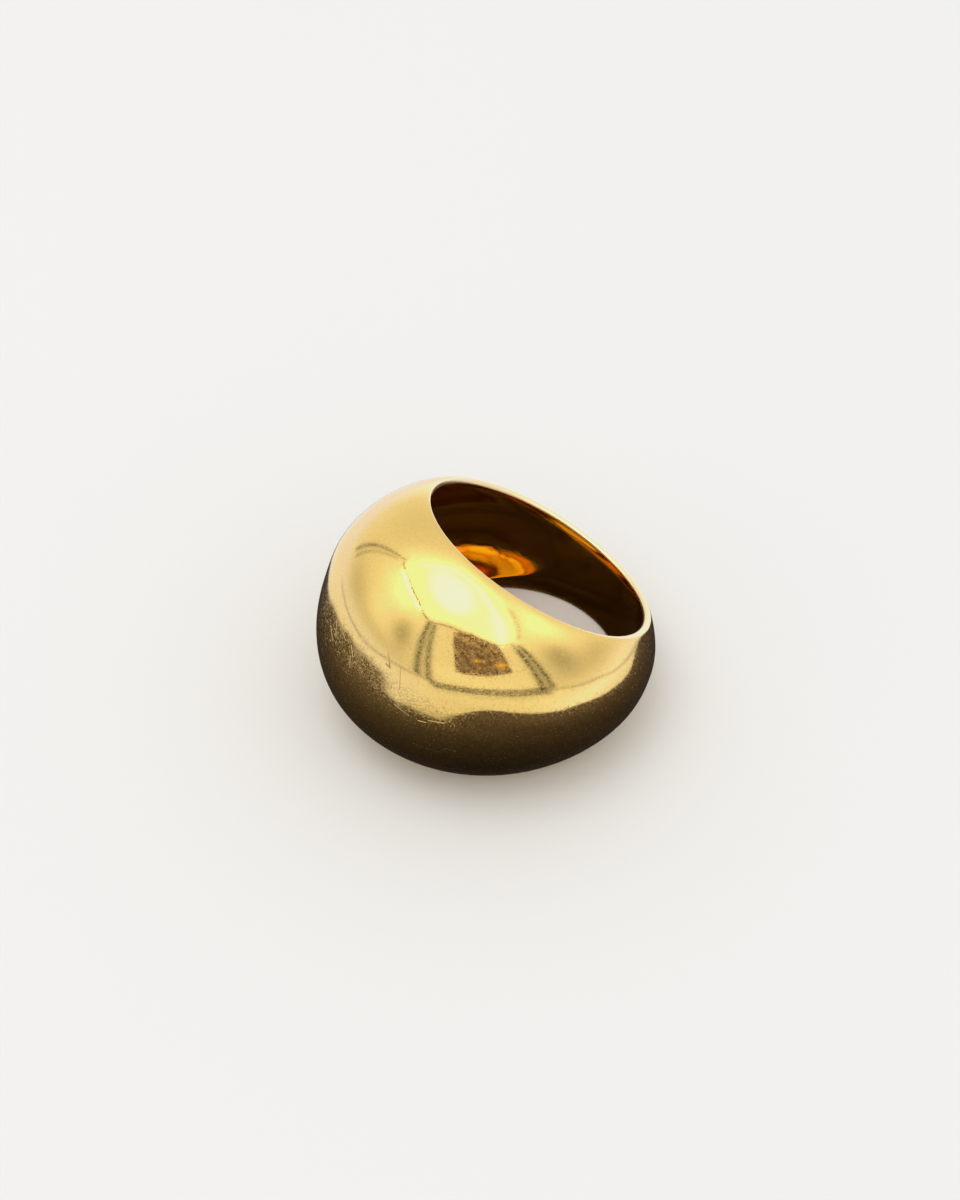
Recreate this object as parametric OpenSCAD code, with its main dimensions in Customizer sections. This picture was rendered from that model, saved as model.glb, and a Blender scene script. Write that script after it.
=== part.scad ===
// Dome ring: a plain band that swells into one high rounded dome, lying on its flat lower rim.
// The body is shaped round the finger hole first, with the dome up, and laid down at the end.

/* [Finger hole] */
// Inner diameter of the ring
bore_d = 17; // [15:0.5:20]

/* [Side cuts] */
// Width of the ring along the finger, at the middle of the finger hole
middle_w = 11.25; // [10:0.05:14]
// Lean of each flat side cut, in degrees, which makes the dome wide and the shank narrow
cut_lean = 18.7; // [12:0.1:20]

/* [Thickness] */
// Height of the dome's top above the finger hole
dome_h = 6; // [4.5:0.1:7.5]
// Height of the shoulder, 60 degrees round from the dome's top
shoulder_h = 4.4; // [3:0.1:5.5]
// Height of the flank, 120 degrees round from the dome's top
flank_h = 2.1; // [1.6:0.1:3]
// Thickness of the shank, opposite the dome
shank_h = 1.3; // [1:0.05:1.6]
// Width of the flat rim beside the dome
dome_edge = 0.15; // [0.1:0.05:0.4]
// Width of the flat rim beside the flanks
flank_edge = 0.5; // [0.3:0.05:0.7]
// Width of the flat rim beside the shank
shank_edge = 0.45; // [0.3:0.05:0.7]

/* [Hollow back] */
// Metal left between the outside and the hollow
wall = 1.1; // [0.8:0.05:1.5]
// Angle from the dome's top to each end of the hollow
hollow_angle = 148; // [100:1:155]

/* [Hidden] */

bore_r = bore_d / 2;
lean_slope = tan(cut_lean);

// Cross sections at even steps from the dome's top, 0 degrees, to the shank, 180 degrees.
// Columns: height above the hole, roundness of the crown, steepness of the sides, flat rim.
HEIGHT = 0;
CROWN = 1;
SIDES = 2;
EDGE = 3;
sections = [
    [dome_h,     2.2, 1.0, dome_edge],
    [shoulder_h, 1.4, 1.4, dome_edge],
    [flank_h,    1.8, 1.1, flank_edge],
    [shank_h,    1.3, 1.3, shank_edge]
];

skin_turns = 96;        // sections round the ring
skin_rows = 24;         // strips from rim to rim
crown_soft = 0.16;      // rounding of the crown line, as a share of the half width
cap_reach = 0.6;        // how far the blank passes each side cut, as a share of its last strip
hollow_turns = 72;      // sections along the hollow
hollow_rows = 20;       // strips across the hollow
hollow_core = 2;        // how far the hollow's cutter reaches inside the finger hole
hollow_lip = 0.15;      // depth lost all over, so that the hollow's edge stays crisp
hollow_end = 8;         // how suddenly the hollow ends: a higher power is blunter
cut_size = 60;          // side of the blocks that make the side cuts
hole_facets = 144;      // facets drawn round the finger hole

// The smooth even wave that passes through one column of the section table
last = len(sections) - 1;
function half_end(i) = i == 0 || i == last ? 0.5 : 1;
function wave(column) = [
    for (n = [0 : last]) half_end(n) * 2 / last * sum_of([
        for (i = [0 : last]) half_end(i) * sections[i][column] * cos(180 * i * n / last)
    ])
];
function sum_of(values, i = 0) = i == len(values) ? 0 : values[i] + sum_of(values, i + 1);
waves = [for (column = [HEIGHT, CROWN, SIDES, EDGE]) wave(column)];
function at(column, turn) = sum_of([for (n = [0 : last]) waves[column][n] * cos(n * turn)]);

// Height of the outside above the finger hole. Turn is the angle round the ring from the dome's top,
// and side runs from -1 at one rim to 1 at the other.
function soft_side(side) =
    (sqrt(side * side + crown_soft * crown_soft) - crown_soft)
    / (sqrt(1 + crown_soft * crown_soft) - crown_soft);
function rise(turn, side) =
    pow(max(0, 1 - pow(soft_side(side), at(CROWN, turn))), 1 / at(SIDES, turn));
function height(turn, side) =
    at(EDGE, turn) + (at(HEIGHT, turn) - at(EDGE, turn)) * rise(turn, side);

// A point with the dome up: the finger runs along Y, and the side cuts lean in towards the shank
function half_w(turn, radius) = middle_w / 2 + lean_slope * radius * cos(turn);
function placed(turn, side, radius) =
    [radius * sin(turn), side * half_w(turn, radius), radius * cos(turn)];
function skin_point(turn, side) = placed(turn, side, bore_r + height(turn, side));

// The same point after the ring is laid on its lower rim, with the dome towards -X
function laid_x(p) = -cos(cut_lean) * p[2] + sin(cut_lean) * p[1];

// Sides from rim to rim, closer together near the rims, where the section bends most
skin_sides = [for (row = [0 : skin_rows]) -cos(180 * row / skin_rows)];
skin_rings = [
    for (turn_i = [0 : skin_turns - 1]) let (turn = 360 * turn_i / skin_turns)
        [for (side = skin_sides) skin_point(turn, side)]
];
all_laid_x = [for (ring = skin_rings, p = ring) laid_x(p)];
centre_x = (min(all_laid_x) + max(all_laid_x)) / 2;
rest_z = middle_w / 2 * cos(cut_lean);

// Two triangles that fill the corners a, b, c and d, given clockwise as seen from outside
function quad(a, b, c, d) = [[a, b, c], [a, c, d]];

// The solid body before the finger hole, the hollow and the side cuts are made
module blank() {
    function passed(rim, inner) = rim + (rim - inner) * cap_reach;
    rings = [
        for (ring = skin_rings)
            [passed(ring[0], ring[1]), each [for (j = [1 : skin_rows - 1]) ring[j]],
             passed(ring[skin_rows], ring[skin_rows - 1])]
    ];
    rows = skin_rows + 1;
    skin = [for (ring = rings) each ring];
    hubs = [[0, rings[0][0][1], 0], [0, rings[0][rows - 1][1], 0]];
    hub = len(skin);
    polyhedron(
        points = concat(skin, hubs),
        faces = [
            for (i = [0 : skin_turns - 1])
                let (start = i * rows, next = (i + 1) % skin_turns * rows)
                    each [
                        for (j = [0 : rows - 2])
                            each quad(start + j, start + j + 1, next + j + 1, next + j),
                        [start, next, hub],
                        [next + rows - 1, start + rows - 1, hub + 1]
                    ]
        ]
    );
}

// Everything beyond one side cut: a block whose face is the leaning plane
module beyond_cut(side) {
    translate([0, side * middle_w / 2, 0])
        rotate([-side * cut_lean, 0, 0])
            translate([-cut_size / 2, side > 0 ? 0 : -cut_size, -cut_size / 2])
                cube(cut_size);
}

// Depth of the hollow behind the outside, less the wall and less towards its two ends
function hollow_depth(turn, side) =
    (height(turn, side) - wall) * (1 - pow(turn / hollow_angle, hollow_end)) - hollow_lip;

// The cutter for the hollow: a curved slab from just inside the finger hole out to that depth
module hollow() {
    columns = hollow_turns + 1;
    rows = hollow_rows + 1;
    turns = [for (i = [0 : hollow_turns]) hollow_angle * (2 * i / hollow_turns - 1)];
    sides = [for (j = [0 : hollow_rows]) 2 * j / hollow_rows - 1];
    outer = [for (turn = turns, side = sides) placed(turn, side, bore_r + hollow_depth(turn, side))];
    inner = [for (turn = turns, side = sides) placed(turn, side, bore_r - hollow_core)];
    n = len(outer);
    top = rows - 1;
    polyhedron(
        points = concat(outer, inner),
        faces = concat(
            [for (i = [0 : columns - 2], j = [0 : rows - 2])
                let (a = i * rows + j, b = a + rows)
                    each concat(quad(a, a + 1, b + 1, b), quad(n + a, n + b, n + b + 1, n + a + 1))],
            [for (i = [0 : columns - 2])
                let (a = i * rows, b = a + rows)
                    each concat(quad(a, b, n + b, n + a),
                                quad(a + top, n + a + top, n + b + top, b + top))],
            [for (a = [0 : rows - 2])
                let (b = (columns - 1) * rows + a)
                    each concat(quad(a + 1, a, n + a, n + a + 1), quad(b, b + 1, n + b + 1, n + b))]
        )
    );
}

module finger_hole() {
    rotate([90, 0, 0])
        cylinder(r = bore_r, h = cut_size, center = true, $fn = hole_facets);
}

// Lays the ring down: the dome turns towards -X, and the lower side cut comes to rest on Z = 0
module laid_down() {
    translate([-centre_x, 0, rest_z])
        rotate([0, cut_lean, 0])
            rotate([0, 0, -90])
                rotate([90, 0, 0])
                    children();
}

module ring_body() {
    color([0.87, 0.68, 0.28])
        laid_down()
            difference() {
                blank();
                finger_hole();
                hollow();
                beyond_cut(-1);
                beyond_cut(1);
            }
}

ring_body();
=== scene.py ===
# Dome ring in polished gold, lying on a plain pale floor under a soft studio tent
import bpy, math
from mathutils import Vector, Matrix


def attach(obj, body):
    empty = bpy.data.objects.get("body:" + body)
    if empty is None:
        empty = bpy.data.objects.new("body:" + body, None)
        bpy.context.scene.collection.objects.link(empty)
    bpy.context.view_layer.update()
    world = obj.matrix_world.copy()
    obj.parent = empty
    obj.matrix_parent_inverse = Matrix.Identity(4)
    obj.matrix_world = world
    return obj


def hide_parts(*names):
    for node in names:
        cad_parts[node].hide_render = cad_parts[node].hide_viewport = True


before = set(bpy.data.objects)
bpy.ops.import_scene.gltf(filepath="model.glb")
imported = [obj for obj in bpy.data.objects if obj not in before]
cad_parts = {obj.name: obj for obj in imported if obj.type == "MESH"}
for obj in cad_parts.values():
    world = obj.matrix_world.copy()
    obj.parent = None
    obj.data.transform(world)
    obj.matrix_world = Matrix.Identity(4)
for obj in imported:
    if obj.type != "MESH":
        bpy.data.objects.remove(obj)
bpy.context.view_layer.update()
mm = 0.001


# Sockets as values: an expression on them adds Math nodes to the tree
class Sock:
    def __init__(self, tree, socket):
        self.tree = tree
        self.socket = socket

    def __add__(self, other):
        return self.tree.maths("ADD", self, other)

    def __radd__(self, other):
        return self.tree.maths("ADD", other, self)

    def __sub__(self, other):
        return self.tree.maths("SUBTRACT", self, other)

    def __rsub__(self, other):
        return self.tree.maths("SUBTRACT", other, self)

    def __mul__(self, other):
        return self.tree.maths("MULTIPLY", self, other)

    def __rmul__(self, other):
        return self.tree.maths("MULTIPLY", other, self)

    def __truediv__(self, other):
        return self.tree.maths("DIVIDE", self, other)

    def __rtruediv__(self, other):
        return self.tree.maths("DIVIDE", other, self)


# One node tree; add() makes any node from its type, settings and socket values or links
class Tree:
    def __init__(self, nodeTree):
        self.nodes = nodeTree.nodes
        self.links = nodeTree.links
        self.nodes.clear()

    def add(self, kind, settings=None, inputs=None, output=0):
        node = self.nodes.new(kind)
        for name, value in (settings or {}).items():
            if name == "stops":
                self.setStops(node.color_ramp, value)
            else:
                setattr(node, name, value)
        for name, value in (inputs or {}).items():
            if isinstance(value, Sock):
                self.links.new(value.socket, node.inputs[name])
            else:
                node.inputs[name].default_value = value
        return Sock(self, node.outputs[output]) if node.outputs else node

    def setStops(self, ramp, stops):
        while len(ramp.elements) > 1:
            ramp.elements.remove(ramp.elements[-1])
        for i, (place, level) in enumerate(stops):
            stop = ramp.elements[0] if i == 0 else ramp.elements.new(place)
            stop.position = place
            stop.color = (level, level, level, 1)

    def ramp(self, value, stops):  # levels of grey at places from 0 to 1
        return self.add("ShaderNodeValToRGB", {"stops": stops}, {"Fac": value})

    def maths(self, operation, a, b=0.0):
        return self.add("ShaderNodeMath", {"operation": operation}, {0: a, 1: b})

    def vector(self, operation, a, b=(0, 0, 0), output=0):
        return self.add("ShaderNodeVectorMath", {"operation": operation}, {0: a, 1: b}, output)

    def dot(self, a, b):
        return self.vector("DOT_PRODUCT", a, b, "Value")

    def mix(self, share, a, b):  # colours
        return self.add("ShaderNodeMix", {"data_type": "RGBA"}, {0: share, 6: a, 7: b}, 2)

    def mixValue(self, share, a, b):
        return self.add("ShaderNodeMix", {"data_type": "FLOAT"}, {0: share, 2: a, 3: b})

    def rgb(self, red, green, blue):
        return self.add("ShaderNodeCombineColor", {}, {0: red, 1: green, 2: blue})

    def tinted(self, level, tint):
        return self.vector("MULTIPLY", self.rgb(level, level, level), tint)

    def noise(self, place, scale, detail=2.0, rough=0.5, distortion=0.0):
        return self.add("ShaderNodeTexNoise", {}, {"Vector": place, "Scale": scale, "Detail": detail,
                                                   "Roughness": rough, "Distortion": distortion})

    def fade(self, value, start, end, low=0.0, high=1.0):  # low before start, high after end
        return self.add("ShaderNodeMapRange", {"interpolation_type": "SMOOTHSTEP"},
                        {"Value": value, "From Min": start, "From Max": end, "To Min": low, "To Max": high})

    def span(self, value, start, full, fullEnd, end):  # 1 from full to fullEnd, 0 outside start and end
        return self.fade(value, start, full) * self.fade(value, end, fullEnd)

    def bell(self, value, middle, width):  # 1 at the middle, falling smoothly on both sides
        offset = (value - middle) / width
        return self.maths("EXPONENT", 0 - offset * offset)

    def streak(self, x, y, start, end, width, soft):  # 1 along a straight line from start to end
        start = Vector(start)
        line = Vector(end) - start
        length = line.length
        line = line / length
        run = x * line.x + y * line.y - start.dot(line)
        off = y * line.x - x * line.y - (start.y * line.x - start.x * line.y)
        return self.bell(off, 0, width) * self.span(run, -soft, soft, length - soft, length + soft)


# The ring's form, from the same sizes as its solid, in millimetres and degrees
ring = {
    "boreRadius": 8.5, "middleWidth": 11.25, "cutLean": 18.7,
    "sections": [  # every 60 degrees from the dome's top: height, crown, sides, edge
        (6.0, 2.2, 1.0, 0.15), (4.4, 1.4, 1.4, 0.15), (2.1, 1.8, 1.1, 0.5), (1.3, 1.3, 1.3, 0.45)],
    "crownSoft": 0.16, "wall": 1.1, "hollowAngle": 148, "hollowEnd": 8, "hollowLip": 0.15,
    "edgeAlong": 0.3, "edgeAcross": 0.8, "hollowSoft": 0.05, "leastBrink": 0.12,
    "turns": 480, "skinRows": 96, "rimRows": 5, "edgeRows": 7, "stripRows": 5, "hollowRows": 26,
    "centringRows": 24, "brinkSteps": 30,
}


def sectionWaves():
    rows = ring["sections"]
    last = len(rows) - 1
    half = lambda i: 0.5 if i in (0, last) else 1.0
    return [[half(n) * 2 / last * sum(half(i) * rows[i][column] * math.cos(math.pi * i * n / last)
                                      for i in range(last + 1)) for n in range(last + 1)]
            for column in range(4)]


waves = sectionWaves()
edgeWave = waves[3]
lean = math.radians(ring["cutLean"])


def sectionAt(turn):
    return [sum(c * math.cos(n * turn) for n, c in enumerate(wave)) for wave in waves]


def skinHeight(turn, side):
    tall, crown, sides, edge = sectionAt(turn)
    k = ring["crownSoft"]
    soft = (math.sqrt(side * side + k * k) - k) / (math.sqrt(1 + k * k) - k)
    return edge + (tall - edge) * max(0.0, 1 - soft ** crown) ** (1 / sides)


def hollowDepth(turn, side):
    ending = 1 - (abs(turn) / math.radians(ring["hollowAngle"])) ** ring["hollowEnd"]
    return (skinHeight(turn, side) - ring["wall"]) * ending - ring["hollowLip"]


def hollowBrink(turn):  # the side at which the hollow starts, at this turn
    if hollowDepth(turn, 0) <= 0:
        return ring["leastBrink"]
    low, high = 0.0, 1.0
    for _ in range(ring["brinkSteps"]):
        middle = (low + high) / 2
        low, high = (middle, high) if hollowDepth(turn, middle) > 0 else (low, middle)
    return max(low, ring["leastBrink"])


def halfWidth(turn, radius):
    return ring["middleWidth"] / 2 + math.tan(lean) * radius * math.cos(turn)


def laidX(turn, across, radius):  # before the ring is centred
    return math.sin(lean) * across - math.cos(lean) * radius * math.cos(turn)


def laid(turn, across, radius):  # a point of the ring with the dome up, turned to lie on its lower rim
    z = math.sin(lean) * radius * math.cos(turn) + math.cos(lean) * (across + ring["middleWidth"] / 2)
    return Vector((laidX(turn, across, radius) + ring["centre"], -radius * math.sin(turn), z)) * mm


def spread(count):  # from 0 to 1, closer together at both ends
    return [(1 - math.cos(math.pi * i / count)) / 2 for i in range(count + 1)]


def skinPoint(turn, share):  # across and radius, from the lower rim at 0 to the upper rim at 1
    side = 2 * share - 1
    radius = ring["boreRadius"] + skinHeight(turn, side)
    return side * halfWidth(turn, radius), radius


def upperRim(turn):  # from the skin's edge to the wall, with the inner edge a quarter of an ellipse
    bore = ring["boreRadius"]
    edge = sectionAt(turn)[3]
    inset = min(ring["edgeAlong"], edge * ring["edgeAcross"])
    flat = [bore + edge + (inset - edge) * i / ring["rimRows"] for i in range(1, ring["rimRows"])]
    rim = [(halfWidth(turn, radius), radius) for radius in flat]
    for i in range(ring["edgeRows"] + 1):
        a = math.pi / 2 * i / ring["edgeRows"]
        radius = bore + inset * (1 - math.sin(a))
        rim.append((halfWidth(turn, radius) - ring["edgeAlong"] * (1 - math.cos(a)), radius))
    return rim


def innerWall(turn):  # from the upper rim to the lower: a strip of wall, the hollow and the other strip
    bore = ring["boreRadius"]
    top = (halfWidth(turn, bore) - ring["edgeAlong"]) / halfWidth(turn, bore)
    brink = hollowBrink(turn)
    strip = [top + (brink - top) * i / ring["stripRows"] for i in range(1, ring["stripRows"] + 1)]
    hollow = [brink * (1 - 2 * share) for share in spread(ring["hollowRows"])[1:-1]]
    hollowed = abs(turn) < math.radians(ring["hollowAngle"])
    wall = []
    for side in strip + hollow + [-side for side in reversed(strip)]:
        depth = hollowDepth(turn, side) if hollowed else -1.0
        radius = bore + (depth + math.hypot(depth, ring["hollowSoft"])) / 2
        wall.append((side * halfWidth(turn, radius), radius))
    return wall


def crossSection(turn):  # one closed loop of across and radius
    skin = [skinPoint(turn, share) for share in spread(ring["skinRows"])]
    upper = upperRim(turn)
    lower = [(-across, radius) for across, radius in reversed(upper)]
    return skin + upper + innerWall(turn) + lower


def makeRing():
    turns = ring["turns"]
    angles = [2 * math.pi * (i / turns if i <= turns / 2 else i / turns - 1) for i in range(turns)]
    xs = [laidX(turn, *skinPoint(turn, share)) for turn in angles for share in spread(ring["centringRows"])]
    ring["centre"] = -(min(xs) + max(xs)) / 2
    points, faces = [], []
    for i, turn in enumerate(angles):
        loop = crossSection(turn)
        rows = len(loop)
        points += [laid(turn, across, radius) for across, radius in loop]
        a, b = i * rows, (i + 1) % turns * rows
        for j in range(rows):
            faces.append((a + j, b + j, b + (j + 1) % rows, a + (j + 1) % rows))
    mesh = bpy.data.meshes.new("ringBody")
    mesh.from_pydata(points, [], faces)
    mesh.polygons.foreach_set("use_smooth", [True] * len(faces))
    mesh.update()
    piece = bpy.data.objects.new("ringBody", mesh)
    bpy.context.scene.collection.objects.link(piece)
    return piece


# Polished gold, softly worn. Lengths are in millimetres and scales are per millimetre. A noise is its
# scale, detail, roughness and distortion. A fade is where it starts and where it is full.
gold = {
    # the rim's paler cream gold is a painted highlight, standing in for the rim's bright sheen
    "colour": (1.0, 0.71, 0.235), "deepColour": (0.98, 0.665, 0.195), "rimPaintedSheenColour": (1.0, 0.80, 0.44),
    "mottleColour": (0.86, 0.60, 0.18), "mottleShare": 0.45, "mottleFade": (0.38, 0.68),
    "scratchColour": (0.35, 0.20, 0.05), "scratchShare": 0.3,
    # the inside's deep orange is painted reflection: it stands in for light bounced between the gold inner
    # walls
    "insidePaintedBounceColour": (1.0, 0.56, 0.06), "paintedReflectionRingsColour": (0.52, 0.16, 0.005),
    # the shank's inner wall is coloured a darker brown: painted shade
    "shankPaintedShadeColour": (0.64, 0.38, 0.06),
    "roughness": 0.03, "cloudRoughness": 0.015, "grainRoughness": 0.02, "speckRoughness": 0.22,
    "hairRoughness": 0.10, "scratchRoughness": 0.25, "insideRoughness": 0.10, "rimRoughness": 0.35,
    "cloudNoise": (0.35, 3), "grainNoise": (5.0, 3, 0.6), "grainDepth": 0.0010,
    "wearNoise": (0.30, 2), "wearDepth": 0.006, "speckNoise": (6.5, 3, 0.6), "speckFade": (0.45, 0.75),
    "hairScale": (0.9, 11.0, 0.5), "hairNoise": (1.0, 2, 0.5, 0.6), "hairFade": (0.60, 0.72),
    "hairDepth": 0.0002, "hairLean": (0.35, -0.6),
    "castNoise": (0.5, 1, 0.4, 0.8), "castDepth": 0.012, "brimWidth": 0.95, "brimDepth": 0.07,
    "rimFromCut": (0.36, 0.30), "rimPastEdge": (0.04, 0.01),  # fades in distance
    "insideFacing": (-0.15, -0.5), "castFromBore": (0.03, 0.3), "shankTurn": (95, 150),
    "ringsAt": (108, -2.8), "ringsSize": (25, 2.3), "ringsDepth": 0.005,  # degrees round, across
    "ringsNoise": (1.5, 2), "ringsWander": 0.3,
    "rings": [  # distance, share of the plain colour against the painted reflection rings' colour
        (0, 0.75), (0.34, 0.8), (0.44, 0.4), (0.54, 0.75), (0.62, 0.65), (0.72, 0.15),
        (0.82, 1), (1.06, 1), (1.16, 0.4), (1.3, 0.6), (1.5, 1)],
    "degreeLength": 0.25,  # along the outside, for one degree round the ring
    "scratches": [  # from: degrees from the dome's top, across; to: the same; width, depth
        (-10.2, -0.15, -6.7, -0.80, 0.040, 0.005), (-8.0, 0.80, -6.2, -0.20, 0.040, 0.004),
        (-3.5, 0.70, -1.2, 0.40, 0.035, 0.005), (1.7, 0.60, 3.5, -0.05, 0.045, 0.006),
        (2.5, -0.15, 3.7, -1.05, 0.035, 0.0045), (-11.8, -2.60, -9.5, -2.75, 0.035, 0.005),
        (21.0, -1.00, 26.2, -1.25, 0.045, 0.002), (29.0, -1.25, 31.3, -1.10, 0.050, 0.007),
        (31.8, -0.85, 36.3, -0.55, 0.040, 0.004), (29.0, -3.55, 33.0, -3.60, 0.060, 0.011),
        (33.0, -3.60, 36.8, -3.45, 0.060, 0.011), (36.8, -3.45, 39.2, -2.75, 0.060, 0.012),
        (39.2, -2.75, 42.2, -2.90, 0.060, 0.012), (14.0, 2.40, 16.3, 1.40, 0.050, 0.010),
        (14.7, 1.50, 16.3, 1.40, 0.045, 0.008), (19.2, 2.00, 21.2, 0.30, 0.030, 0.002)],
    "scratchEnd": 0.08,
}


def swirledReliefAndReflectionRings(tree, place, turn, across):  # uneven rings in the hollow's skin, on both sides: a relief, and painted reflection rings in its colour
    (middleTurn, middleAcross), (turnSize, acrossSize) = gold["ringsAt"], gold["ringsSize"]
    x = (tree.maths("ABSOLUTE", turn) - middleTurn) / turnSize
    y = (across - middleAcross) / acrossSize
    distance = tree.maths("SQRT", x * x + y * y)
    distance = distance + (tree.noise(place, *gold["ringsNoise"]) - 0.5) * gold["ringsWander"]
    reach = gold["rings"][-1][0]
    return tree.ramp(distance / reach, [(d / reach, share) for d, share in gold["rings"]])


def hairlines(tree, arc, across, radius):
    along, over, deep = gold["hairScale"]
    hairs = 0
    for tilt in gold["hairLean"]:
        place = tree.add("ShaderNodeCombineXYZ", {}, {
            0: (arc + across * tilt) * along, 1: (across - arc * tilt) * over, 2: radius * deep})
        hairs = hairs + tree.fade(tree.noise(place, *gold["hairNoise"]), *gold["hairFade"])
    return hairs


def makeGold():
    material = bpy.data.materials.new("polishedGold")
    material.use_nodes = True
    tree = Tree(material.node_tree)
    place = tree.add("ShaderNodeVectorMath", {"operation": "SCALE"},
                     {0: tree.add("ShaderNodeTexCoord", output="Object"), "Scale": 1 / mm})
    # Round the ring, across it and out from its middle, as the mesh is made
    s, c = math.sin(lean), math.cos(lean)
    middle = Vector((ring["centre"], 0, ring["middleWidth"] / 2 * c))
    fromMiddle = tree.vector("SUBTRACT", place, middle)
    across = tree.dot(fromMiddle, (s, 0, c))
    up = tree.dot(fromMiddle, (-c, 0, s))
    aside = tree.dot(fromMiddle, (0, -1, 0))
    turn = tree.maths("ARCTAN2", aside, up) * (180 / math.pi)
    arc = turn * gold["degreeLength"]
    radius = tree.maths("SQRT", up * up + aside * aside)
    normal = tree.add("ShaderNodeNewGeometry", output="Normal")
    outward = (tree.dot(normal, (-c, 0, s)) * up + tree.dot(normal, (0, -1, 0)) * aside) / radius
    # Where the rim, with its softened inner edge, the inner wall and the hollow's skin are
    edge = 0
    for n, size in enumerate(edgeWave):
        edge = edge + tree.maths("COSINE", turn * (n * math.pi / 180)) * size
    fromBore = radius - ring["boreRadius"]
    widthHere = ring["middleWidth"] / 2 + up * math.tan(lean)
    fromCut = widthHere - tree.maths("ABSOLUTE", across)
    rim = tree.fade(fromCut, *gold["rimFromCut"]) * tree.fade(fromBore - edge, *gold["rimPastEdge"])
    inside = tree.fade(outward, *gold["insideFacing"]) * (1 - rim)
    cast = tree.fade(fromBore, *gold["castFromBore"]) * inside
    # where the painted shade on the shank's inner wall goes
    shank = inside * tree.fade(tree.maths("ABSOLUTE", turn), *gold["shankTurn"])

    cloud = tree.noise(place, *gold["cloudNoise"])
    grain = tree.noise(place, *gold["grainNoise"])
    specks = tree.fade(tree.noise(place, *gold["speckNoise"]), *gold["speckFade"])
    rings = swirledReliefAndReflectionRings(tree, place, turn, across)
    hairs = hairlines(tree, arc, across, radius)
    brim = tree.maths("MAXIMUM", 1 - (widthHere - across) / gold["brimWidth"], 0)
    relief = (tree.noise(place, *gold["wearNoise"]) * gold["wearDepth"] + grain * gold["grainDepth"]
              + cast * tree.noise(place, *gold["castNoise"]) * gold["castDepth"]
              - inside * brim * brim * gold["brimDepth"]  # the wall eases over towards the upper cut
              + cast * rings * gold["ringsDepth"] - hairs * gold["hairDepth"])
    scratched = 0
    for fromTurn, fromAcross, toTurn, toAcross, width, depth in gold["scratches"]:
        start = (fromTurn * gold["degreeLength"], fromAcross)
        end = (toTurn * gold["degreeLength"], toAcross)
        groove = tree.streak(arc, across, start, end, width, gold["scratchEnd"]) * (1 - inside)
        scratched = scratched + groove
        relief = relief - groove * depth
    bump = tree.add("ShaderNodeBump", {}, {"Strength": 1.0, "Distance": mm, "Height": relief})

    colour = tree.mix(cloud, (*gold["colour"], 1), (*gold["deepColour"], 1))
    mottle = tree.fade(grain, *gold["mottleFade"]) * gold["mottleShare"]
    # painted highlight: the paler gold on the rim stands in for its bright sheen
    layers = [(mottle, "mottleColour"), (rim, "rimPaintedSheenColour"),
              # painted reflection: a deep orange on the inner surfaces for the light bounced between them
              (scratched * gold["scratchShare"], "scratchColour"), (inside, "insidePaintedBounceColour"),
              # painted reflection: dark swirled rings in the hollow's skin for the reflections seen there
              # painted shade: a darker brown on the shank's inner wall
              (cast * (1 - rings), "paintedReflectionRingsColour"), (shank, "shankPaintedShadeColour")]
    for mask, name in layers:
        colour = tree.mix(mask, colour, (*gold[name], 1))
    roughness = (gold["roughness"] + cloud * gold["cloudRoughness"] + grain * gold["grainRoughness"]
                 + scratched * gold["scratchRoughness"] + specks * gold["speckRoughness"]
                 + hairs * gold["hairRoughness"])
    roughness = tree.mixValue(inside, roughness, gold["insideRoughness"])
    roughness = tree.mixValue(rim, roughness, gold["rimRoughness"])
    surface = tree.add("ShaderNodeBsdfPrincipled", {}, {
        "Metallic": 1.0, "Base Color": colour, "Roughness": roughness, "Normal": bump})
    tree.add("ShaderNodeOutputMaterial", {}, {"Surface": surface})
    return material


piece = makeRing()
piece.data.materials.append(makeGold())
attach(piece, "root")
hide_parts("ring_body")
print("ring:", len(piece.data.polygons), "faces and", len(gold["scratches"]), "scratches")


# The view, matched to the photograph's angle, in degrees and millimetres
view = {"azimuth": 30.956, "elevation": 47.374, "distance": 293.706, "right": 2.572, "down": 1.23,
        "lens": 124.2, "sensor": 36.0, "aim": (2.5855, 0, 5.3281), "clip": (0.01, 10)}


def makeCamera():
    a, e = math.radians(view["azimuth"]), math.radians(view["elevation"])
    right = Vector((math.cos(a), -math.sin(a), 0))
    away = Vector((math.sin(a), math.cos(a), 0))
    up = Vector((0, 0, 1))
    ahead = away * math.cos(e) - up * math.sin(e)
    down = -(up * math.cos(e) + away * math.sin(e))
    data = bpy.data.cameras.new("camera")
    data.lens, data.sensor_width, data.sensor_fit = view["lens"], view["sensor"], "AUTO"
    data.clip_start, data.clip_end = view["clip"]
    camera = bpy.data.objects.new("camera", data)
    place = Vector(view["aim"]) - ahead * view["distance"] - right * view["right"] - down * view["down"]
    turned = Matrix((right, -down, -ahead)).transposed()
    camera.matrix_world = Matrix.Translation(place * mm) @ turned.to_4x4()
    bpy.context.scene.collection.objects.link(camera)
    bpy.context.scene.camera = camera
    return right, away


def addStage(name, points, faces, material):
    mesh = bpy.data.meshes.new(name)
    mesh.from_pydata(points, [], faces)
    mesh.materials.append(material)
    thing = bpy.data.objects.new(name, mesh)
    bpy.context.scene.collection.objects.link(thing)
    return thing


def glowingStage(name, points, faces, material, tree, colour):  # only the metal mirrors it
    glow = tree.add("ShaderNodeEmission", {}, {"Color": colour})
    tree.add("ShaderNodeOutputMaterial", {}, {"Surface": glow})
    thing = addStage(name, points, faces, material)
    thing.visible_camera = thing.visible_diffuse = thing.visible_shadow = thing.visible_transmission = False


def glowMaterial(name):
    material = bpy.data.materials.new(name)
    material.use_nodes = True
    material.cycles.emission_sampling = "NONE"  # only the ring's reflections meet it
    return material, Tree(material.node_tree)


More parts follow.
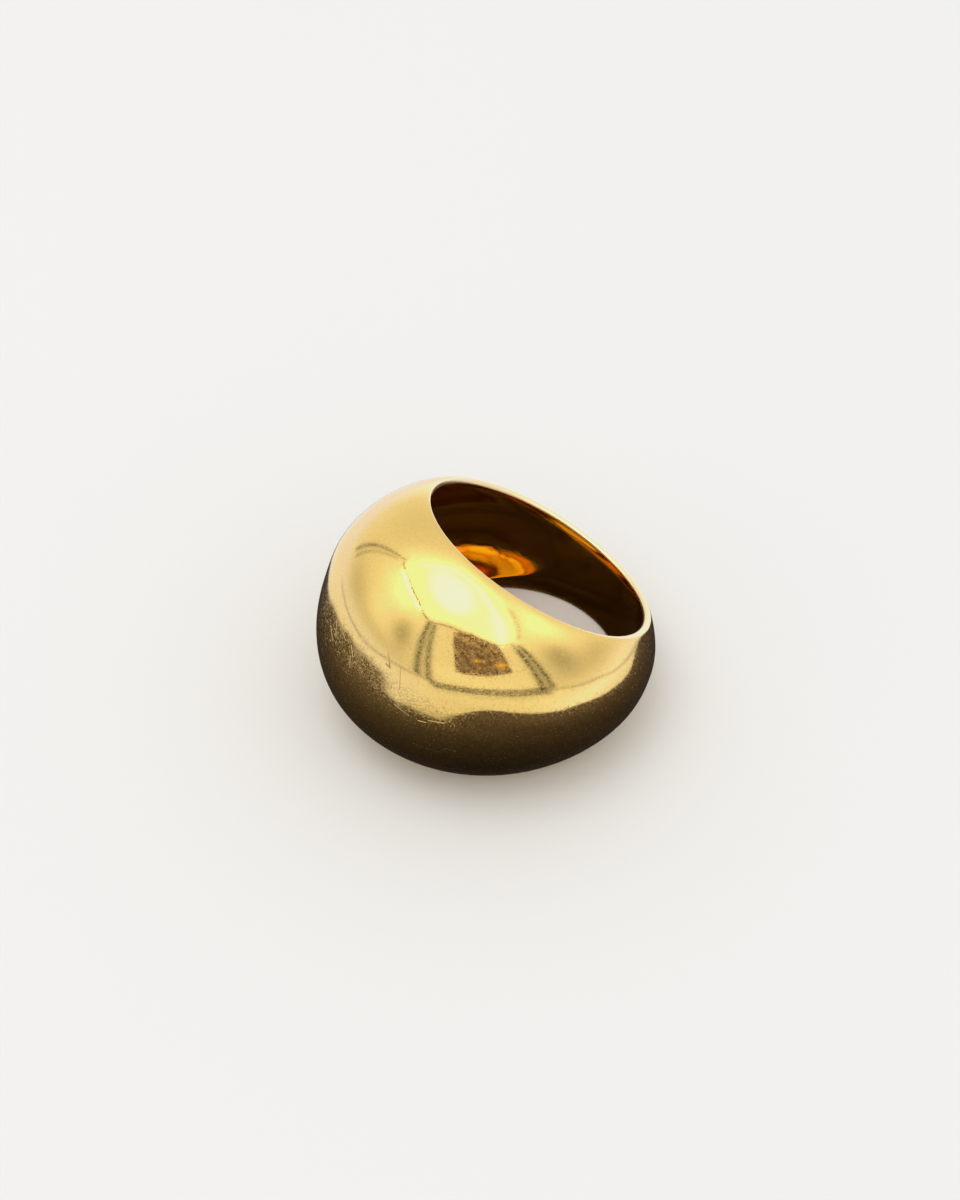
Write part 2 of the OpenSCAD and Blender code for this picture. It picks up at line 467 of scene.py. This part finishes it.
# The white tent that the polished metal mirrors, with a bright ceiling, as a pattern of directions.
# Azimuth is in degrees from the camera's side, positive to its right. Elevation is above the floor.
# A fade is where it starts and where it is full, then its lowest and highest values if they aren't 0
# and 1. A span is where it starts, where it is full from and to, and where it ends.
tent = {
    "size": 4.0, "overhead": (0.15, 0.3), "lowestRise": 0.1,  # of directions on the ceiling's plan
    # Walls: their light, and what is added to it and taken from it
    "wall": 0.89,
    "washes": [  # azimuth, elevation, widths, light
        (-88, 52, 36, 17, 0.55), (88, 41, 34, 15, 0.55), (75, -13, 34, 6, 0.20), (0, 10, 40, 6, 0.10),
        (165, -8, 22, 9, 0.3), (-195, -8, 22, 9, 0.3), (-87, 20, 13, 13, 0.15), (50, -4, 20, 6, 0.12)],
    "shades": [  # azimuth, elevation, widths, share of the light taken
        (64, 17, 12, 14, 0.46), (-59, 20, 9, 17, 0.45), (-112, 3, 20, 13, 0.26), (-75, -2, 24, 7, 0.18),
        (88, 5, 24, 9, 0.24), (0, -17, 24, 5, 0.12), (-172, 30, 35, 20, 0.12), (172, 30, 35, 20, 0.12)],
    # Puckered seams, up the corners and along the foot of the walls
    "corners": [  # azimuth at the foot, azimuth at the top, width, foot, top, strength
        (-136, -137.5, 1.6, -4, 50, 0.75), (-131, -133, 1.3, -2, 46, 0.45), (-43, -41, 3.2, -4, 50, 0.92),
        (-34.5, -34.5, 2.9, -3, 50, 0.88), (43.4, 41, 2.3, 3, 40, 1.0), (48.8, 45.3, 2.1, 2, 38, 0.95)],
    "cornerNoise": (38, 4, 0.6), "cornerFolds": (0.32, 0.68, 0.55, 1.05), "cornerLeast": 0.1,
    "wallFoot": [
        (-180, -14), (-120, -17.5), (-80, -14), (-42, -5), (-28, -3.5), (-15, 0.5), (0, 3.5), (15, 5),
        (30, 4.5), (45, 2), (60, -3), (85, -11), (107, -17.5), (130, -20), (180, -14)],
    "front": (-38, -30, 44, 50), "sides": (130, 118),
    "footMiddle": -0.3, "footFade": (3.3, 2.1),
    "footNoise": (60, 3, 0.7), "footFolds": (0.36, 0.62, 0.4, 0.85),
    "lowerLine": (-4.8, 1.0), "lowerShare": 0.14, "sideLine": (0, 1.0), "sideShare": 0.42,
    # Ceiling: its edge is a sharp seam in front, and fades softly behind
    "ceiling": 1.38, "rightGain": 1.15, "rightFade": (-0.3, 0.3),
    "ceilingEdge": [
        (-180, 58), (-137, 51), (-115, 57.5), (-90, 60), (-65, 58), (-42, 51.5), (-25, 55), (-5, 54),
        (15, 48), (38, 40.5), (60, 51), (78, 58), (95, 60), (120, 58), (150, 57), (180, 58)],
    "sharp": (-150, -125, 34, 46), "leftToFront": (-50, -40),
    "leftEdge": (-0.5, 0.5), "frontEdge": (-1, 6), "softEdge": (-12, 10),
    "edgeLine": (-0.6, 1.0), "edgeShare": 0.6, "deep": (-104, -94, -50, -44), "deepShare": 0.3,
    "core": (-0.04, 0.03, 0.22, 0.34), "coreFade": (2.2, 0.4), "coreGain": 1.35,  # place, half widths
    "streaks": [  # on the plan of the ceiling: from, to, width, added light
        (-0.28, 0.46, 0.12, 0.51, 0.045, 0.9), (0.12, 0.51, 0.30, 0.30, 0.045, 0.9),
        (0.30, 0.30, 0.44, -0.25, 0.055, 1.0), (0.44, -0.25, 0.66, -1.05, 0.10, 1.1),
        (-0.66, 0.42, -0.62, -0.38, 0.045, 2.2), (0.64, 0.10, 0.88, -0.75, 0.05, -0.45)],
    "streakEnd": 0.05,
    # A cooler light low on the side walls
    "coolBand": (-14, 10), "coolSides": (20, 70), "coolGain": 0.35, "coolGreen": 0.1,
    # Opening in the front wall, with dim clutter and two small lights behind it
    "openingSides": (-13.5, -12.5, 28.5, 29.5), "openingBottom": (15.6, 16.8), "openingSlope": 0.1,
    "openingTop": [(-180, 50), (-14, 50.5), (0, 53), (12, 50.5), (29, 41), (180, 40)], "openingSoft": 0.6,
    "clutterNoise": (20, 5, 0.7, 1.2), "clutterFade": (0.30, 0.75), "clutterLevels": (0.24, 2.4),
    "clutterRise": (14, 50, 0.85, 1.25), "openingGlow": 0.34, "openingTint": (1.0, 0.77, 0.70),
    "sparks": [(6.5, 28.5, 3.0, 0.9), (23.5, 25.0, 3.6, 1.4)],  # azimuth, elevation, widths
    "sparkTint": (1.15, 0.72, 0.13),
    # Dark, uneven ground round the ring
    "groundEdge": [
        (-180, -42), (-160, -40), (-130, -31.5), (-105, -23.9), (-88, -20.2), (-70, -18), (-57, -19.5),
        (-44, -20), (-32, -21.8), (-22, -22.9), (-15, -21.8), (-9, -18.6), (-2, -14.8), (6, -12.2),
        (16, -11.9), (45, -15.5), (62, -17.5), (75, -21), (90, -23.3), (104, -24.2), (118, -21.5),
        (130, -24), (150, -34), (180, -42)],
    "groundSoft": 0.7, "groundTint": (1.0, 0.80, 0.80),
    "groundLight": [
        (-90, 0.012), (-70, 0.022), (-55, 0.031), (-42, 0.045), (-33, 0.061), (-27, 0.084), (-20, 0.11)],
    "groundNoise": (50, 3, 0.7), "groundPatches": (0.35, 0.65, 0.6, 1.4),
}


def along(tree, azimuth, table):  # the elevation that a table gives at this azimuth
    height = tree.ramp(azimuth / 360 + 0.5, [(a / 360 + 0.5, e / 180 + 0.5) for a, e in table])
    height.socket.node.color_ramp.interpolation = "CARDINAL"
    return height * 180 - 90


def wallLight(tree, direction, azimuth, elevation):
    light = tent["wall"]
    for a, e, wide, tall, gain in tent["washes"]:
        light = light + tree.bell(azimuth, a, wide) * tree.bell(elevation, e, tall) * gain
    for a, e, wide, tall, share in tent["shades"]:
        light = light * (1 - tree.bell(azimuth, a, wide) * tree.bell(elevation, e, tall) * share)
    folds = tree.fade(tree.noise(direction, *tent["cornerNoise"]), *tent["cornerFolds"])
    for footAt, topAt, width, foot, top, strength in tent["corners"]:
        line = footAt + (elevation - foot) * ((topAt - footAt) / (top - foot))
        mask = tree.bell(azimuth - line, 0, width)
        mask = mask * tree.span(elevation, foot - 1, foot + 1, top - 1, top + 1)
        light = light * tree.maths("MAXIMUM", 1 - mask * folds * strength, tent["cornerLeast"])
    fromFoot = elevation - along(tree, azimuth, tent["wallFoot"])
    front = tree.span(azimuth, *tent["front"])
    folds = tree.fade(tree.noise(direction, *tent["footNoise"]), *tent["footFolds"])
    seam = tree.fade(tree.maths("ABSOLUTE", fromFoot - tent["footMiddle"]), *tent["footFade"])
    light = light * (1 - seam * front * folds)
    light = light * (1 - tree.bell(fromFoot, *tent["lowerLine"]) * front * tent["lowerShare"])
    sides = tree.fade(tree.maths("ABSOLUTE", azimuth), *tent["sides"]) * (1 - front)
    return light * (1 - tree.bell(fromFoot, *tent["sideLine"]) * sides * tent["sideShare"])


def withCeiling(tree, light, azimuth, elevation, aside, ahead, overhead):
    fromEdge = elevation - along(tree, azimuth, tent["ceilingEdge"])
    sharp = tree.span(azimuth, *tent["sharp"])
    leftEdge = tree.fade(fromEdge, *tent["leftEdge"])
    frontEdge = tree.fade(fromEdge, *tent["frontEdge"])
    sharpEdge = tree.mixValue(tree.fade(azimuth, *tent["leftToFront"]), leftEdge, frontEdge)
    above = tree.mixValue(sharp, tree.fade(fromEdge, *tent["softEdge"]), sharpEdge)
    ceiling = tree.mixValue(tree.fade(aside, *tent["rightFade"]), tent["ceiling"],
                            tent["ceiling"] * tent["rightGain"])
    light = tree.mixValue(above, light, ceiling)
    x, y, halfX, halfY = tent["core"]
    fromCore = (aside - x) * (aside - x) / halfX ** 2 + (ahead - y) * (ahead - y) / halfY ** 2
    light = light + tree.fade(fromCore, *tent["coreFade"]) * overhead * tent["coreGain"]
    for fromX, fromY, toX, toY, width, gain in tent["streaks"]:
        streak = tree.streak(aside, ahead, (fromX, fromY), (toX, toY), width, tent["streakEnd"])
        light = light + streak * overhead * gain
    share = tent["edgeShare"] + tree.span(azimuth, *tent["deep"]) * tent["deepShare"]
    return light * (1 - tree.bell(fromEdge, *tent["edgeLine"]) * sharp * share)


def withOpening(tree, colour, direction, azimuth, elevation):
    soft = tent["openingSoft"]
    opening = (tree.span(azimuth, *tent["openingSides"])
               * tree.fade(elevation - along(tree, azimuth, tent["openingTop"]), soft, -soft)
               * tree.fade(elevation - azimuth * tent["openingSlope"], *tent["openingBottom"]))
    clutter = tree.fade(tree.noise(direction, *tent["clutterNoise"]), *tent["clutterFade"])
    low, gain = tent["clutterLevels"]
    clutter = (low + clutter * clutter * gain) * tree.fade(elevation, *tent["clutterRise"])
    dim = tree.tinted(clutter, [tent["openingGlow"] * c for c in tent["openingTint"]])
    colour = tree.mix(opening, colour, dim)
    for a, e, wide, tall in tent["sparks"]:
        spark = tree.bell(azimuth, a, wide) * tree.bell(elevation, e, tall)
        colour = tree.mix(spark, colour, (*tent["sparkTint"], 1))
    return colour


def withGround(tree, colour, direction, azimuth, elevation):
    soft = tent["groundSoft"]
    below = tree.fade(elevation - along(tree, azimuth, tent["groundEdge"]), soft, -soft)
    light = tree.ramp((elevation + 90) / 180, [((e + 90) / 180, value) for e, value in tent["groundLight"]])
    patches = tree.fade(tree.noise(direction, *tent["groundNoise"]), *tent["groundPatches"])
    return tree.mix(below, colour, tree.tinted(light * patches, tent["groundTint"]))


def makeTent(right, away):
    material, tree = glowMaterial("tentLight")
    direction = tree.vector("NORMALIZE", tree.add("ShaderNodeNewGeometry", output="Position"))
    rise = tree.dot(direction, Vector((0, 0, 1)))
    toDegrees = 180 / math.pi
    azimuth = tree.maths("ARCTAN2", tree.dot(direction, right), tree.dot(direction, -away)) * toDegrees
    elevation = tree.maths("ARCSINE", rise) * toDegrees
    overhead = tree.fade(rise, *tent["overhead"])
    aside = tree.dot(direction, right) / tree.maths("MAXIMUM", rise, tent["lowestRise"])
    ahead = tree.dot(direction, away) / tree.maths("MAXIMUM", rise, tent["lowestRise"])

    light = wallLight(tree, direction, azimuth, elevation)
    light = withCeiling(tree, light, azimuth, elevation, aside, ahead, overhead)
    sides = tree.fade(tree.maths("ABSOLUTE", azimuth), *tent["coolSides"])
    cool = tree.bell(elevation, *tent["coolBand"]) * sides * tent["coolGain"]
    colour = tree.rgb(light, light * (1 + cool * tent["coolGreen"]), light * (1 + cool))
    colour = withOpening(tree, colour, direction, azimuth, elevation)
    colour = withGround(tree, colour, direction, azimuth, elevation)

    h = tent["size"]
    corners = [(x, y, z) for x in (-h, h) for y in (-h, h) for z in (-h, h)]
    walls = [(0, 1, 3, 2), (4, 6, 7, 5), (0, 4, 5, 1), (2, 3, 7, 6), (0, 2, 6, 4), (1, 5, 7, 3)]
    glowingStage("tent", corners, walls, material, tree, colour)


# Down through the finger hole the metal mirrors a dark ground
under = {"colour": (0.032, 0.018, 0.010), "noise": (260, 3, 0.6, 1.0), "patches": (0.32, 0.68, 0.5, 1.6),
         "middle": 0.93, "radii": (9.2, 8.75), "height": -0.05, "sides": 48}


def makeUnder():
    material, tree = glowMaterial("underGlow")
    place = tree.add("ShaderNodeNewGeometry", output="Position")
    patches = tree.fade(tree.noise(place, *under["noise"]), *under["patches"])
    long, wide = under["radii"]
    angles = [2 * math.pi * i / under["sides"] for i in range(under["sides"])]
    oval = [Vector((under["middle"] + long * math.cos(a), wide * math.sin(a), under["height"])) * mm
            for a in angles]
    glowingStage("underGlow", oval, [tuple(range(under["sides"]))], material, tree,
                 tree.tinted(patches, under["colour"]))


# Soft light for the floor, and a backdrop as pale as the far floor
studio = {"light": 1.0, "backdrop": (0.80, 0.795, 0.78),
          "lamp": 0.35, "lampSize": 0.25, "lampAt": (-0.10, 0.05, 0.45)}


def makeLights():
    world = bpy.data.worlds.new("studio")
    bpy.context.scene.world = world
    world.use_nodes = True
    world.cycles_visibility.glossy = False  # the metal mirrors the tent instead
    tree = Tree(world.node_tree)
    level = studio["light"]
    colour = tree.mix(tree.add("ShaderNodeLightPath", output="Is Camera Ray"), (level, level, level, 1),
                      (*studio["backdrop"], 1))
    background = tree.add("ShaderNodeBackground", {}, {"Color": colour})
    tree.add("ShaderNodeOutputWorld", {}, {"Surface": background})
    data = bpy.data.lights.new("ceilingLamp", "AREA")
    data.energy, data.shape, data.size = studio["lamp"], "SQUARE", studio["lampSize"]
    lamp = bpy.data.objects.new("ceilingLamp", data)
    lamp.location = studio["lampAt"]
    lamp.rotation_euler = (-Vector(studio["lampAt"])).to_track_quat("-Z", "Y").to_euler()
    lamp.visible_glossy = lamp.visible_camera = False
    bpy.context.scene.collection.objects.link(lamp)


floorLook = {"colour": (0.78, 0.775, 0.76), "roughness": 0.9, "specular": 0.1, "size": 2.0}


def makeFloor():
    material = bpy.data.materials.new("palePaper")
    material.use_nodes = True
    tree = Tree(material.node_tree)
    surface = tree.add("ShaderNodeBsdfPrincipled", {}, {
        "Base Color": (*floorLook["colour"], 1), "Roughness": floorLook["roughness"],
        "Specular IOR Level": floorLook["specular"]})
    tree.add("ShaderNodeOutputMaterial", {}, {"Surface": surface})
    h = floorLook["size"]
    floor = addStage("floor", [(-h, -h, 0), (h, -h, 0), (h, h, 0), (-h, h, 0)], [(0, 1, 2, 3)], material)
    floor.visible_glossy = False


# Brightness in the picture: the brightest light rolls off below pure white
tone = [(0, 0), (0.90, 0.90), (1, 0.87)]


def setTone():
    settings = bpy.context.scene.view_settings
    settings.view_transform = "Standard"
    settings.use_curve_mapping = True
    curve = settings.curve_mapping.curves[3]
    curve.points[0].location, middle, curve.points[1].location = tone
    curve.points.new(*middle)
    for point in curve.points:
        point.handle_type = "VECTOR"
    settings.curve_mapping.extend = "HORIZONTAL"
    settings.curve_mapping.update()


right, away = makeCamera()
print("camera set")
makeTent(right, away)
makeUnder()
print("tent done")
makeLights()
makeFloor()
setTone()
print("lights, floor and tone done")
